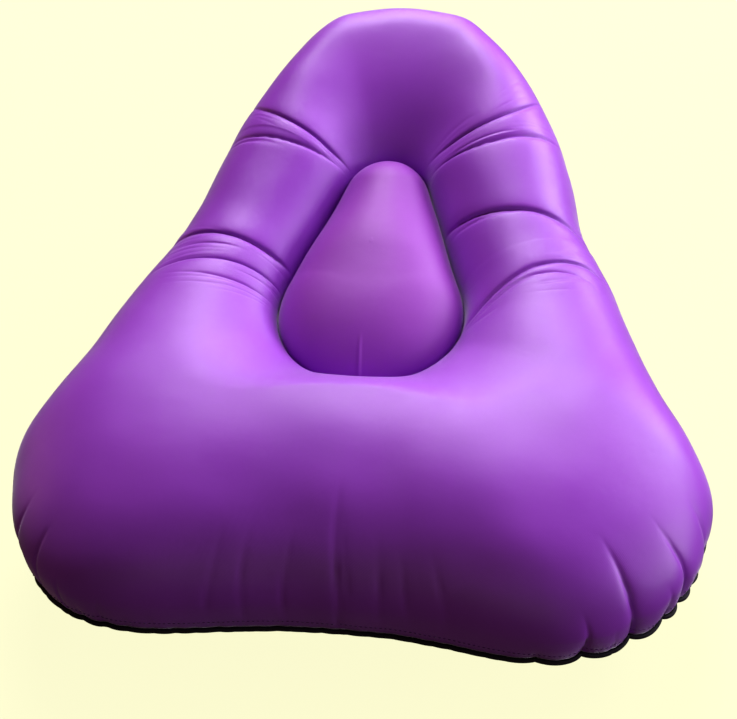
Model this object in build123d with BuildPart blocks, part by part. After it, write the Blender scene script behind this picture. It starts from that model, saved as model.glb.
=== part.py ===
"""Wobble cushion: an inflated three-cornered seat ring around a pear-shaped centre pad.

Millimetres, +Z up. The wide end faces -Y and rests on the floor; the narrow end rises towards +Y.
A zipped, piped stretch cover holds two air cells joined by a tube and filled through one valve.
"""
from build123d import *
import os
from math import acos, atan2, cos, degrees, pi, radians, sin, tan

os.makedirs("parts", exist_ok=True)

# --- Driving dimensions ---------------------------------------------------------------------
# Plan outline: two round front corners, two round rear corners, straight sides between them.
FRONT_MID_Y = -232.1          # middle of the front edge, drawn in behind the corners
CORNER_X = 131.0
CORNER_Y = -152.1
CORNER_R = 90.0
SHOULDER_X = 42.0
SHOULDER_Y = 178.0
SHOULDER_R = 61.0
BACK_Y = SHOULDER_Y + SHOULDER_R

# Centre pad in plan: a pear, wide towards the front.
PEAR_R = 63.0
PEAR_Y = -9.0
PEAR_TIP_R = 27.0
PEAR_TIP_Y = 88.0
GROOVE_HALF = 2.0             # half the width of the groove around the pad

# Heights, and how the cushion rises to the rear.
CREST_Z = 135.0
PAD_Z = 118.0
GROOVE_Z = 85.0
SEAM_Z = 50.0
RISE_ANGLE = 18.8
REST_END_Y = 0.0
ROCKER_R = 200.0
CREST_BEND_Y = 10.0
CREST_BEND_R = 250.0

# Roundings of the inflated form.
RIM_R = 40.0
INNER_RIM_R = 38.0
FOOT_R = 36.0
PAD_RIM_R = 20.0

# Materials and layers.
FABRIC_T = 1.2
CELL_T = 0.8
CELL_INSET = 3.0
PIPING_D = 3.6

# Inflation valve on the rear wall.
VALVE_Z = 133.0
STEM_R = 6.4
BORE_R = 4.2
STEM_OUT = 4.0                # how far the stem stands out from the rear wall
STEM_IN = 13.0                # how far it reaches inside
CAP_HINGE_RISE = 11.5         # cap hinge above the valve axis
FLAP_HINGE_RISE = 7.4         # flap hinge above the valve axis

# Zip across the raised rear underside.
ZIP_Y = 120.0
ZIP_HALF = 88.0
TAPE_W = 10.4
TAPE_T = 0.6
TEETH_GAP = 0.8               # half the open channel between the two rows of teeth
TOOTH_PITCH = 3.0
TOOTH_COUNT = 57
SLIDER_START = -81.0

RISE = radians(RISE_ANGLE)


# --- Shared construction --------------------------------------------------------------------
def polar(centre, radius, angle):
    """Point on a circle, angle in radians."""
    return centre + Vector(cos(angle), sin(angle)) * radius


def lift(y):
    """Height of the raised underside above the floor at a given y."""
    bend_end = REST_END_Y + ROCKER_R * sin(RISE)
    if y <= REST_END_Y:
        return 0.0
    if y <= bend_end:
        return ROCKER_R - (ROCKER_R**2 - (y - REST_END_Y)**2)**0.5
    return ROCKER_R * (1 - cos(RISE)) + (y - bend_end) * tan(RISE)


def plan(inset):
    """Outline of the cushion seen from above, moved inwards by inset."""
    corner = Vector(CORNER_X, CORNER_Y)
    shoulder = Vector(SHOULDER_X, SHOULDER_Y)
    drop = CORNER_Y - FRONT_MID_Y
    front_r = (CORNER_X**2 + drop**2 - CORNER_R**2) / (2 * (CORNER_R - drop))
    front_centre = Vector(0, FRONT_MID_Y - front_r)
    reach = (corner - front_centre).normalized()
    span = shoulder - corner
    side = atan2(span.Y, span.X) - acos((CORNER_R - SHOULDER_R) / span.length)
    start = atan2(-reach.Y, -reach.X)
    half_way = (pi / 2 + atan2(reach.Y, reach.X)) / 2
    with BuildSketch() as outline:
        with BuildLine():
            ThreePointArc(
                (0, FRONT_MID_Y),
                polar(front_centre, front_r, half_way),
                polar(corner, CORNER_R, start),
            )
            CenterArc(corner, CORNER_R, degrees(start), degrees(side - start))
            Line(polar(corner, CORNER_R, side), polar(shoulder, SHOULDER_R, side))
            CenterArc(shoulder, SHOULDER_R, degrees(side), 90 - degrees(side))
            Line((SHOULDER_X, BACK_Y), (0, BACK_Y))
            mirror(about=Plane.YZ)
        make_face()
        if inset:
            offset(amount=-inset)
    return outline.sketch


def pear(growth):
    """Outline of the centre pad, grown outwards by growth."""
    big = PEAR_R + growth
    small = PEAR_TIP_R + growth
    flare = degrees(acos((big - small) / (PEAR_TIP_Y - PEAR_Y)))
    side = 90 - flare
    with BuildSketch() as outline:
        with BuildLine():
            CenterArc((0, PEAR_Y), big, -90, 90 + side)
            Line(
                polar(Vector(0, PEAR_Y), big, radians(side)),
                polar(Vector(0, PEAR_TIP_Y), small, radians(side)),
            )
            CenterArc((0, PEAR_TIP_Y), small, side, 90 - side)
            mirror(about=Plane.YZ)
        make_face()
    return outline.sketch


def wedge(height, above, bend_y=REST_END_Y, bend_r=ROCKER_R):
    """Everything above (or below) a surface that runs level and then rises to the rear."""
    limit = 420 if above else -220
    far = 420
    with BuildPart() as block:
        with BuildSketch(Plane.YZ.offset(-300)):
            with BuildLine():
                Line((-400, height), (bend_y, height))
                bend = CenterArc((bend_y, height + bend_r), bend_r, -90, RISE_ANGLE)
                run = (far - (bend @ 1).X) / cos(RISE)
                slope = Line(bend @ 1, (bend @ 1) + Vector(cos(RISE), sin(RISE)) * run)
                Polyline(slope @ 1, (far, limit), (-400, limit), (-400, height))
            make_face()
        extrude(amount=600)
    return block.part


def rim(block, upward):
    """Outer border of the faces of a block that look up (or down)."""
    sign = 1 if upward else -1
    faces = [f for f in block.faces() if f.normal_at().Z * sign > 0.8]
    edges = [e for f in faces for e in f.edges()]
    return [e for e in edges if sum(1 for other in edges if other.is_same(e)) == 1]


def column(outline):
    """Upright column through the full height over a plan outline."""
    with BuildPart() as upright:
        with BuildSketch(Plane.XY.offset(-20)):
            add(outline)
        extrude(amount=300)
    return upright.part


def pillow(inset):
    """The whole inflated form without its groove, moved inwards by inset."""
    upright = column(plan(inset))
    over = wedge(CREST_Z - inset, True, CREST_BEND_Y, CREST_BEND_R)
    under = wedge(inset, False)
    with BuildPart() as form:
        add(upright)
        add(over, mode=Mode.SUBTRACT)
        add(under, mode=Mode.SUBTRACT)
        fillet(rim(form, True), RIM_R - inset)
        fillet(rim(form, False), FOOT_R - inset)
    return form.part


def pear_column(growth, floor_z=None):
    """Pear-shaped column; with floor_z it starts at that level above the underside."""
    upright = column(pear(growth))
    if floor_z is None:
        return upright
    under = wedge(floor_z, False)
    with BuildPart() as form:
        add(upright)
        add(under, mode=Mode.SUBTRACT)
    return form.part


def seat_ring(inset, floor_z=None):
    """The pillow with its centre opened down to floor_z and the inner rim rounded."""
    whole = pillow(inset)
    pocket = pear_column(GROOVE_HALF + inset, floor_z)
    with BuildPart() as form:
        add(whole)
        before = form.edges()
        add(pocket, mode=Mode.SUBTRACT)
        fresh = [e for e in form.edges() if not any(e.is_same(old) for old in before)]
        tops = [e for f in form.faces() if f.normal_at().Z > 0.8 for e in f.edges()]
        crest = [e for e in fresh if e.center().Z > CREST_Z - inset - 2]
        crest = [e for e in crest if sum(1 for t in tops if t.is_same(e)) == 1]
        fillet(crest, INNER_RIM_R - inset)
    return form.part


def pad_dome(inset, floor_z):
    """The centre pad: a pear-shaped column with a rounded top."""
    upright = pear_column(-GROOVE_HALF - inset, floor_z)
    over = wedge(PAD_Z - inset, True)
    with BuildPart() as form:
        add(upright)
        add(over, mode=Mode.SUBTRACT)
        fillet(rim(form, True), PAD_RIM_R - inset)
    return form.part


def bar_y(x, z, radius, start, end, mode=Mode.ADD):
    """Cylinder along Y between two y values, in the current part."""
    with Locations(Location((x, (start + end) / 2, z), (90, 0, 0))):
        Cylinder(radius, end - start, mode=mode)


def bar_x(y, z, radius, half_length, mode=Mode.ADD):
    """Cylinder along X centred on x = 0, in the current part."""
    with Locations(Location((0, y, z), (0, 90, 0))):
        Cylinder(radius, 2 * half_length, mode=mode)


def block(x, y, z, mode=Mode.ADD):
    """Box from three (low, high) pairs, in the current part."""
    with Locations(((x[0] + x[1]) / 2, (y[0] + y[1]) / 2, (z[0] + z[1]) / 2)):
        Box(x[1] - x[0], y[1] - y[0], z[1] - z[0], mode=mode)


# --- Cover: stretch fabric panels sewn together along the groove and the lower edge -----------
EYELET_HOLE_R = STEM_R + 1.0
ZIP = Plane(
    origin=(0, ZIP_Y, lift(ZIP_Y)),
    x_dir=(1, 0, 0),
    z_dir=(0, sin(RISE), -cos(RISE)),
)

ring_face = seat_ring(0, GROOVE_Z)
ring_back = seat_ring(FABRIC_T, GROOVE_Z)
centre_opening = pear_column(GROOVE_HALF)
below_seam = wedge(SEAM_Z, False)
above_seam = wedge(SEAM_Z, True)

with BuildPart() as cover_top_panel:
    add(ring_face)
    add(ring_back, mode=Mode.SUBTRACT)
    add(centre_opening, mode=Mode.SUBTRACT)
    add(below_seam, mode=Mode.SUBTRACT)
    bar_y(0, VALVE_Z, EYELET_HOLE_R, BACK_Y - 8, BACK_Y + 8, mode=Mode.SUBTRACT)
cover_top_panel.part.label = "cover_top_panel"
export_step(cover_top_panel.part, "parts/cover_top_panel.step")

pad_face = pad_dome(0, GROOVE_Z)
pad_back = pad_dome(FABRIC_T, GROOVE_Z - 10)

with BuildPart() as cover_centre_panel:
    add(pad_face)
    add(pad_back, mode=Mode.SUBTRACT)
cover_centre_panel.part.label = "cover_centre_panel"
export_step(cover_centre_panel.part, "parts/cover_centre_panel.step")

binding_outer = pear_column(GROOVE_HALF + FABRIC_T, GROOVE_Z - FABRIC_T)
binding_inner = pear_column(-GROOVE_HALF - FABRIC_T)
above_groove = wedge(GROOVE_Z, True)

with BuildPart() as groove_binding:
    add(binding_outer)
    add(binding_inner, mode=Mode.SUBTRACT)
    add(above_groove, mode=Mode.SUBTRACT)
groove_binding.part.label = "groove_binding"
export_step(groove_binding.part, "parts/groove_binding.step")

pillow_face = pillow(0)
pillow_back = pillow(FABRIC_T)
zip_slot = ZIP * Box(2 * ZIP_HALF, 10, 8)

with BuildPart() as cover_bottom_panel:
    add(pillow_face)
    add(pillow_back, mode=Mode.SUBTRACT)
    add(above_seam, mode=Mode.SUBTRACT)
    add(zip_slot, mode=Mode.SUBTRACT)
cover_bottom_panel.part.label = "cover_bottom_panel"
export_step(cover_bottom_panel.part, "parts/cover_bottom_panel.step")

piping_outline = plan(-PIPING_D)
wall_outline = plan(0)
below_piping = wedge(SEAM_Z - PIPING_D / 2, False)
above_piping = wedge(SEAM_Z + PIPING_D / 2, True)

with BuildPart() as edge_piping:
    with BuildSketch(Plane.XY.offset(-20)):
        add(piping_outline)
        add(wall_outline, mode=Mode.SUBTRACT)
    extrude(amount=300)
    add(below_piping, mode=Mode.SUBTRACT)
    add(above_piping, mode=Mode.SUBTRACT)
edge_piping.part.label = "edge_piping"
export_step(edge_piping.part, "parts/edge_piping.step")

# --- Air cells and the tube that joins them ---------------------------------------------------
LINK_Y = PEAR_TIP_Y + PEAR_TIP_R
LINK_Z = 72.0
LINK_R = 5.0
LINK_BORE = 3.5

cell_face = seat_ring(CELL_INSET)
cell_back = seat_ring(CELL_INSET + CELL_T)

with BuildPart() as ring_air_cell:
    add(cell_face)
    add(cell_back, mode=Mode.SUBTRACT)
    bar_y(0, VALVE_Z, STEM_R, BACK_Y - 16, BACK_Y, mode=Mode.SUBTRACT)
    bar_y(0, LINK_Z, LINK_R, LINK_Y, LINK_Y + 16, mode=Mode.SUBTRACT)
ring_air_cell.part.label = "ring_air_cell"
export_step(ring_air_cell.part, "parts/ring_air_cell.step")

pad_cell_face = pad_dome(CELL_INSET, CELL_INSET)
pad_cell_back = pad_dome(CELL_INSET + CELL_T, CELL_INSET + CELL_T)

with BuildPart() as pad_air_cell:
    add(pad_cell_face)
    add(pad_cell_back, mode=Mode.SUBTRACT)
    bar_y(0, LINK_Z, LINK_R, LINK_Y - 16, LINK_Y, mode=Mode.SUBTRACT)
pad_air_cell.part.label = "pad_air_cell"
export_step(pad_air_cell.part, "parts/pad_air_cell.step")

with BuildPart() as link_tube:
    bar_y(0, LINK_Z, LINK_R, LINK_Y - 10, LINK_Y + 10)
    bar_y(0, LINK_Z, LINK_BORE, LINK_Y - 11, LINK_Y + 11, mode=Mode.SUBTRACT)
link_tube.part.label = "link_tube"
export_step(link_tube.part, "parts/link_tube.step")

# --- Valve in the rear wall -------------------------------------------------------------------
STEM_END = BACK_Y + STEM_OUT
SEAT_Y = BACK_Y - STEM_IN
CELL_FACE_Y = BACK_Y - CELL_INSET - CELL_T
FLAP_HINGE_Y = SEAT_Y - 2.2
FLAP_HINGE_Z = VALVE_Z + FLAP_HINGE_RISE
CAP_Y = STEM_END + 0.4
CAP_HINGE_Y = CAP_Y + 0.6
CAP_HINGE_Z = VALVE_Z + CAP_HINGE_RISE

with BuildPart() as valve_eyelet:
    bar_y(0, VALVE_Z, EYELET_HOLE_R, BACK_Y - FABRIC_T, BACK_Y)
    bar_y(0, VALVE_Z, EYELET_HOLE_R + 2, BACK_Y, BACK_Y + 1)
    bar_y(0, VALVE_Z, EYELET_HOLE_R + 2, BACK_Y - FABRIC_T - 1, BACK_Y - FABRIC_T)
    fillet(valve_eyelet.edges().filter_by(GeomType.CIRCLE).group_by(Axis.Y)[-1], 0.4)
    bar_y(0, VALVE_Z, STEM_R + 0.3, BACK_Y - 6, BACK_Y + 6, mode=Mode.SUBTRACT)
valve_eyelet.part.label = "valve_eyelet"
export_step(valve_eyelet.part, "parts/valve_eyelet.step")

with BuildPart() as valve_base:
    bar_y(0, VALVE_Z, STEM_R, SEAT_Y, STEM_END)
    bar_y(0, VALVE_Z, STEM_R + 3.4, CELL_FACE_Y - 0.9, CELL_FACE_Y)
    bar_y(0, VALVE_Z, STEM_R + 0.6, STEM_END - 0.9, STEM_END)
    ear_z = (VALVE_Z + 5.3, FLAP_HINGE_Z + 1.5)
    block((2.4, 3.4), (SEAT_Y - 4, SEAT_Y + 4), ear_z)
    block((-3.4, -2.4), (SEAT_Y - 4, SEAT_Y + 4), ear_z)
    bar_x(FLAP_HINGE_Y, FLAP_HINGE_Z, 0.6, 2.9)
    bar_y(0, VALVE_Z, BORE_R, SEAT_Y - 6, STEM_END + 2, mode=Mode.SUBTRACT)
valve_base.part.label = "valve_base"
export_step(valve_base.part, "parts/valve_base.step")

with BuildPart() as check_flap:
    bar_y(0, VALVE_Z, BORE_R + 0.7, SEAT_Y - 1.3, SEAT_Y - 0.5)
    block((-1.8, 1.8), (SEAT_Y - 1.9, SEAT_Y - 0.9), (VALVE_Z + 3.8, FLAP_HINGE_Z - 0.8))
    bar_x(FLAP_HINGE_Y, FLAP_HINGE_Z, 1.6, 1.8)
    bar_x(FLAP_HINGE_Y, FLAP_HINGE_Z, 0.95, 4, mode=Mode.SUBTRACT)
check_flap.part.label = "check_flap"
export_step(check_flap.part, "parts/check_flap.step")

STRAP_IN = BACK_Y + 1.4
STRAP_OUT = BACK_Y + 2.6

with BuildPart() as valve_strap:
    bar_y(0, VALVE_Z, STEM_R + 2.2, STRAP_IN, STRAP_OUT)
    block((-4, 4), (STRAP_IN, STRAP_OUT), (VALVE_Z + 7, CAP_HINGE_Z + 2.2))
    ear_z = (CAP_HINGE_Z - 1.6, CAP_HINGE_Z + 1.6)
    block((2.7, 4.0), (STRAP_IN, CAP_HINGE_Y + 1.4), ear_z)
    block((-4.0, -2.7), (STRAP_IN, CAP_HINGE_Y + 1.4), ear_z)
    bar_x(CAP_HINGE_Y, CAP_HINGE_Z, 0.7, 3.0)
    bar_y(0, VALVE_Z, STEM_R, BACK_Y - 2, BACK_Y + 8, mode=Mode.SUBTRACT)
valve_strap.part.label = "valve_strap"
export_step(valve_strap.part, "parts/valve_strap.step")

with BuildPart() as valve_cap:
    bar_y(0, VALVE_Z, 7.4, CAP_Y, CAP_Y + 1.5)
    fillet(valve_cap.edges().group_by(Axis.Y)[-1], 0.5)
    bar_y(0, VALVE_Z, BORE_R - 0.8, CAP_Y - 2.6, CAP_Y)
    block((-2.3, 2.3), (CAP_Y, CAP_Y + 1.2), (VALVE_Z + 6, CAP_HINGE_Z - 0.8))
    block((-2.2, 2.2), (CAP_Y, CAP_Y + 1.5), (VALVE_Z - 9, VALVE_Z - 6))
    bar_x(CAP_HINGE_Y, CAP_HINGE_Z, 1.7, 2.3)
    bar_x(CAP_HINGE_Y, CAP_HINGE_Z, 1.05, 4, mode=Mode.SUBTRACT)
valve_cap.part.label = "valve_cap"
export_step(valve_cap.part, "parts/valve_cap.step")

# --- Zip across the raised rear underside -----------------------------------------------------
TEETH_EDGE = TEETH_GAP + 1.8
TAPE_MIDDLE = TEETH_EDGE + TAPE_W / 2


def tooth_row(side):
    """One row of moulded teeth on its bead, in the current part."""
    with Locations((0, side * (TEETH_EDGE - 0.3), 0.3)):
        Box(2 * ZIP_HALF - 4, 0.6, 1.2)
    with Locations((side * TOOTH_PITCH / 4, side * (TEETH_GAP + 0.9), 0.3)):
        with GridLocations(TOOTH_PITCH, 1, TOOTH_COUNT, 1):
            Box(1.5, 1.8, 1.8)


with BuildPart(ZIP) as zip_tape_front:
    with Locations((0, TAPE_MIDDLE, TAPE_T / 2)):
        Box(2 * ZIP_HALF, TAPE_W, TAPE_T)
zip_tape_front.part.label = "zip_tape_front"
export_step(zip_tape_front.part, "parts/zip_tape_front.step")

with BuildPart(ZIP) as zip_tape_rear:
    with Locations((0, -TAPE_MIDDLE, TAPE_T / 2)):
        Box(2 * ZIP_HALF, TAPE_W, TAPE_T)
zip_tape_rear.part.label = "zip_tape_rear"
export_step(zip_tape_rear.part, "parts/zip_tape_rear.step")

with BuildPart(ZIP) as zip_teeth_front:
    tooth_row(1)
zip_teeth_front.part.label = "zip_teeth_front"
export_step(zip_teeth_front.part, "parts/zip_teeth_front.step")

with BuildPart(ZIP) as zip_teeth_rear:
    tooth_row(-1)
zip_teeth_rear.part.label = "zip_teeth_rear"
export_step(zip_teeth_rear.part, "parts/zip_teeth_rear.step")

with BuildPart(ZIP) as zip_stop_left:
    with Locations((-ZIP_HALF + 1, 0, 0.4)):
        Box(1.8, 2 * TEETH_EDGE, 1.6)
zip_stop_left.part.label = "zip_stop_left"
export_step(zip_stop_left.part, "parts/zip_stop_left.step")

with BuildPart(ZIP) as zip_stop_right:
    with Locations((ZIP_HALF - 1, 0, 0.4)):
        Box(1.8, 2 * TEETH_EDGE, 1.6)
zip_stop_right.part.label = "zip_stop_right"
export_step(zip_stop_right.part, "parts/zip_stop_right.step")

PLATE_OUT = 1.5               # slider plate above the panel face
PLATE_T = 1.0
PLATE_IN = -1.9               # its twin behind the teeth
PULL_AXIS = PLATE_OUT + PLATE_T + 1.2
SLIDE = Plane(origin=ZIP.from_local_coords((SLIDER_START, 0, 0)), x_dir=ZIP.x_dir, z_dir=ZIP.z_dir)
PULL_SIDE = Plane(
    origin=SLIDE.from_local_coords((-0.6, 0, 0)),
    x_dir=SLIDE.y_dir,
    z_dir=SLIDE.x_dir,
)

with BuildPart(SLIDE) as zip_slider:
    with BuildSketch(SLIDE.offset(PLATE_OUT)):
        RectangleRounded(9, 8.4, 1.6)
    extrude(amount=PLATE_T)
    with BuildSketch(SLIDE.offset(PLATE_IN)):
        RectangleRounded(9, 8.4, 1.6)
    extrude(amount=PLATE_T)
    block((-2, 2), (-0.45, 0.45), (PLATE_IN, PLATE_OUT))
    block((-2.9, 2.9), (3.2, 4.2), (0.9, PLATE_OUT + 0.2))
    block((-2.9, 2.9), (-4.2, -3.2), (0.9, PLATE_OUT + 0.2))
    block((-2.6, 2.6), (-0.8, 0.8), (PLATE_OUT, PULL_AXIS + 1.8))
    block((-1.7, 1.7), (-2, 2), (PLATE_OUT + PLATE_T, PULL_AXIS + 0.9), mode=Mode.SUBTRACT)
zip_slider.part.label = "zip_slider"
export_step(zip_slider.part, "parts/zip_slider.step")

with BuildPart(SLIDE) as zip_pull:
    with BuildSketch(PULL_SIDE):
        with Locations((0, PULL_AXIS + 9.2)):
            RectangleRounded(7.0, 11.6, 2.0)
        with Locations((0, PULL_AXIS + 13.0)):
            Circle(1.1, mode=Mode.SUBTRACT)
    extrude(amount=1.2)
    block((-0.6, 0.6), (-2.6, 2.6), (PULL_AXIS, PULL_AXIS + 5))
    block((-2, 2), (-1.3, 1.3), (PULL_AXIS - 1, PULL_AXIS + 4.1), mode=Mode.SUBTRACT)
    with Locations(Location((0, 0, PULL_AXIS), (90, 0, 0))):
        Cylinder(0.6, 5.2)
zip_pull.part.label = "zip_pull"
export_step(zip_pull.part, "parts/zip_pull.step")
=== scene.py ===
"""Wobble cushion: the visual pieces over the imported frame. Shapes are worked out in millimetres."""
from math import acos, asin, atan2, cos, pi, radians, sin, tan

import bmesh
import bpy
import numpy as np
from mathutils import Matrix, Vector


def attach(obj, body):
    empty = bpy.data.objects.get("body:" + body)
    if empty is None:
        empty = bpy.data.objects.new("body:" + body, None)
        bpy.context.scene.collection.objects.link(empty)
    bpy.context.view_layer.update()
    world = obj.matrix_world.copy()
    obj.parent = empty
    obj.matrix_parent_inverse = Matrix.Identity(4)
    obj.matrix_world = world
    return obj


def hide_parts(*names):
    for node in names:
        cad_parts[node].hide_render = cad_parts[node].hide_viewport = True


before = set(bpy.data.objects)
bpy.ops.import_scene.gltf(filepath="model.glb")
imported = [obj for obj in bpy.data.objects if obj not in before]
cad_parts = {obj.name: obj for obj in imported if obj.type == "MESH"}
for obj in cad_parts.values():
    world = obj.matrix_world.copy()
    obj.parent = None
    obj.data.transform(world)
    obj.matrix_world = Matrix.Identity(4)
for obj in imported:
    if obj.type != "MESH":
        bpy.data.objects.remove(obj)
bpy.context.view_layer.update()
MM = 0.001

# --- Form of the cushion --------------------------------------------------------------------
# Right half of the widest outline: front edge, round front corner, long side, narrow end.
FRONT_Y, FRONT_DIP = -241.35, 10.0  # the middle of the front edge is drawn in by the dip
CORNER, CORNER_R = np.array([130.8, -151.7]), 89.65
WAIST = np.array([118.0, 79.0])  # the corner's arc ends where it heads for this point
WAIST_PULL = 0.45  # how far the side's curve follows that heading
TIP = np.array([50.6, 232.8])
TIP_PULL = np.array([0.803, -0.596]) * 95  # how the side's curve comes into the tip
BACK_Y = 239.3

# The groove round the pad is a pear: two circles on the middle line, and tangents between them.
PEAR_R, PEAR_Y = 63.0, -9.0
PEAR_TIP_R, PEAR_TIP_Y = 31.5, 82.5
PEAR_SIDE, PEAR_END = 0.49, 0.78  # shares of a half turn at which the tangent starts and ends
PEAR_FLARE = asin((PEAR_R - PEAR_TIP_R) / (PEAR_TIP_Y - PEAR_Y))

# Heights before the rise towards the rear is added.
CREST_FRONT, CREST_SIDE, CREST_BACK_DROP = 135.2, 123.6, 3.0
GROOVE_Z, WIDEST_Z, SEAM_Z = 85.0, 66.0, 43.0
PAD_RISE = 41.0
TOP_RISE, TOP_RISE_Y = 0.395, 39.0  # slope of the upper surface, and where it sets in
TOP_EASE, TOP_EASE_Y = 0.137, 139.0  # how much of the slope is lost again near the tip
ROCKER_R, RISE = 200, radians(18.8)  # bend of the underside, and the slope behind it

LOW_POWER = 2.2  # roundness of the section under the widest line
FOOT_SHARE = 0.6  # where the wall meets the underside, as a share of the reach
FABRIC_T = 1.2

ZIP_Y, ZIP_HALF, SLOT_HALF = 120.0, 88.0, 5.0
TEETH_EDGE, TAPE_W, TAPE_T = 2.6, 10.4, 0.6
VALVE_Z = 133.0
COVER_HOLE_R, CELL_HOLE_R = 7.4, 6.4


def smooth(low, high, x):
    t = np.clip((x - low) / (high - low), 0, 1)
    return t * t * (3 - 2 * t)


def ramp(y, knee, width=25.0):
    """Nought before the knee and the distance past it after, with a soft bend between."""
    return width * np.log1p(np.exp((y - knee) / width))


def lift_top(y):
    """How far the upper surface rises towards the rear."""
    return TOP_RISE * ramp(y, TOP_RISE_Y) - TOP_EASE * ramp(y, TOP_EASE_Y)


def lift_base(y):
    """How far the underside rises: level, then a bend, then a straight slope."""
    y = np.asarray(y, float)
    end = ROCKER_R * sin(RISE)
    bend = ROCKER_R - np.sqrt(ROCKER_R**2 - np.clip(y, 0, end) ** 2)
    return bend + np.clip(y - end, 0, None) * tan(RISE)


def outline():
    """Right half of the widest outline, front to back."""
    pts = []
    for x in np.linspace(0, CORNER[0], 60):
        pts.append((x, FRONT_Y + FRONT_DIP * (1 - smooth(0, 1, x / CORNER[0]))))
    d = WAIST - CORNER
    gap = np.hypot(*d)
    end = atan2(d[1], d[0]) - acos(CORNER_R / gap)
    for a in np.linspace(-pi / 2, end, 60)[1:]:
        pts.append((CORNER[0] + CORNER_R * cos(a), CORNER[1] + CORNER_R * sin(a)))
    p0 = np.array(pts[-1])
    p1 = p0 + np.array([-sin(end), cos(end)]) * gap * WAIST_PULL
    p2 = TIP + TIP_PULL
    for t in np.linspace(0, 1, 200)[1:]:
        u = 1 - t
        pts.append(tuple(u**3 * p0 + 3 * u**2 * t * p1 + 3 * u * t * t * p2 + t**3 * TIP))
    for t in np.linspace(0, 1, 24)[1:]:
        pts.append((TIP[0] * (1 - t), TIP[1] + (BACK_Y - TIP[1]) * (1 - (1 - t) ** 2)))
    return np.array(pts)


def pear(t):
    """Point and outward direction on the right half of the groove, and its spine point's y."""
    b = PEAR_FLARE
    if t < PEAR_SIDE:
        a = -pi / 2 + (t / PEAR_SIDE) * (pi / 2 + b)
        spine, r = PEAR_Y, PEAR_R
    elif t < PEAR_END:
        q = (t - PEAR_SIDE) / (PEAR_END - PEAR_SIDE)
        a = b
        spine = PEAR_Y + (PEAR_TIP_Y - PEAR_Y) * q
        r = PEAR_R + (PEAR_TIP_R - PEAR_R) * q
    else:
        a = b + (t - PEAR_END) / (1 - PEAR_END) * (pi / 2 - b)
        spine, r = PEAR_TIP_Y, PEAR_TIP_R
    n = np.array([cos(a), sin(a)])
    return np.array([0.0, spine]) + n * r, n, spine


EDGE = outline()

# How far each side's widest line stands off the even outline, in mm, from front (0) to back (1).
# A side is 1 on the right and -1 on the left, here and in every table below.
TRIM = {
    1: [(0.0, 0.5), (0.05, 0.0), (0.10, 4.5), (0.13, 7.0), (0.155, 4.0), (0.19, 0.0),
        (0.22, 0.0), (0.245, -0.5), (0.263, 2.0), (0.28, 0.0), (0.36, -1.0), (0.45, -1.5),
        (0.50, -5.5), (0.56, -7.0), (0.61, -6.0), (0.66, -4.0), (0.72, -1.5), (0.80, 0.5),
        (1.0, 0.0)],
    -1: [(0.0, 0.5), (0.04, -2.0), (0.13, -3.0), (0.155, -1.5), (0.19, -3.0), (0.22, -4.0),
         (0.245, -4.0), (0.27, 2.0), (0.30, 7.5), (0.36, 7.0), (0.41, 4.5), (0.46, -0.5),
         (0.51, -3.5), (0.60, -4.0), (0.72, -2.5), (0.80, -1.0), (0.87, -3.0), (0.93, -2.5),
         (0.98, 0.0), (1.0, 0.0)],
}
TRIM_BLEND = 0.010  # how far along the turn a trim is smoothed


def reach(p, n):
    """Distance from the groove to the widest outline along n."""
    a, b = EDGE[:-1] - p, EDGE[1:] - p
    m = np.array([-n[1], n[0]])
    ca, cb = a @ m, b @ m
    hit = ca * cb <= 1e-9
    t = np.where(hit, ca / (ca - cb + 1e-12), 0)
    dist = (a + (b - a) * t[:, None]) @ n
    return np.where(hit & (dist > 0), dist, -1).max()


class Stations:
    """Sections all round the cushion: the right side from front to back, then the left side back.

    dense packs more of them on the arms and the front corners, where the creases are.
    """

    def __init__(self, half, dense=0.0):
        fine = np.linspace(0, 1, 1201)
        far = []
        for t in fine:
            p, n, _ = pear(t)
            far.append(p + n * reach(p, n))
        step = np.hypot(*np.diff(np.array(far), axis=0).T)
        middle = (fine[1:] + fine[:-1]) / 2
        arms = smooth(0.30, 0.40, middle) * (1 - smooth(0.86, 0.93, middle))
        corner = smooth(0.10, 0.14, middle) * (1 - smooth(0.25, 0.29, middle))
        step = step * (1 + dense * (arms + 0.5 * corner))
        run = np.concatenate([[0], np.cumsum(step)])
        share = np.interp(np.linspace(0, run[-1], half), run, fine)
        self.share = np.concatenate([share, share[-2:0:-1]])
        self.side = np.concatenate([np.ones(half), -np.ones(half - 2)])
        self.turn = np.where(self.side > 0, self.share, 2 - self.share)
        p, n, s, far = [], [], [], []
        for t in self.share:
            a, b, c = pear(t)
            p.append(a)
            n.append(b)
            s.append(c)
            far.append(reach(a, b))
        self.p, self.n, self.spine, far = map(np.array, (p, n, s, far))
        for side, trim in TRIM.items():
            far = far + (self.side == side) * np.interp(self.share, *zip(*trim))
        gap = (self.turn[:, None] - self.turn[None, :] + 1) % 2 - 1
        weight = np.exp(-((gap / TRIM_BLEND) ** 2))
        self.reach = weight @ far / weight.sum(1)
        self.p[:, 0] *= self.side
        self.n[:, 0] *= self.side
        front = np.clip(-self.n[:, 1], 0, None) ** 2
        back = smooth(0.30, 1.0, self.n[:, 1])
        corner = np.exp(-(((self.share - 0.22) / 0.13) ** 2))
        # Section at the front, sides and back: where the crest lies, and how round it is.
        self.crest_share = 0.25 * front + (1 - front) * (0.46 * (1 - back) + 0.70 * back)
        self.out_power = 2.15 - 0.25 * front - 0.1 * corner
        self.in_power = 2.0 - 0.55 * front - 0.5 * back
        self.crest_z = (CREST_FRONT * front + CREST_SIDE * (1 - front)
                        - CREST_BACK_DROP * back)


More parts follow.
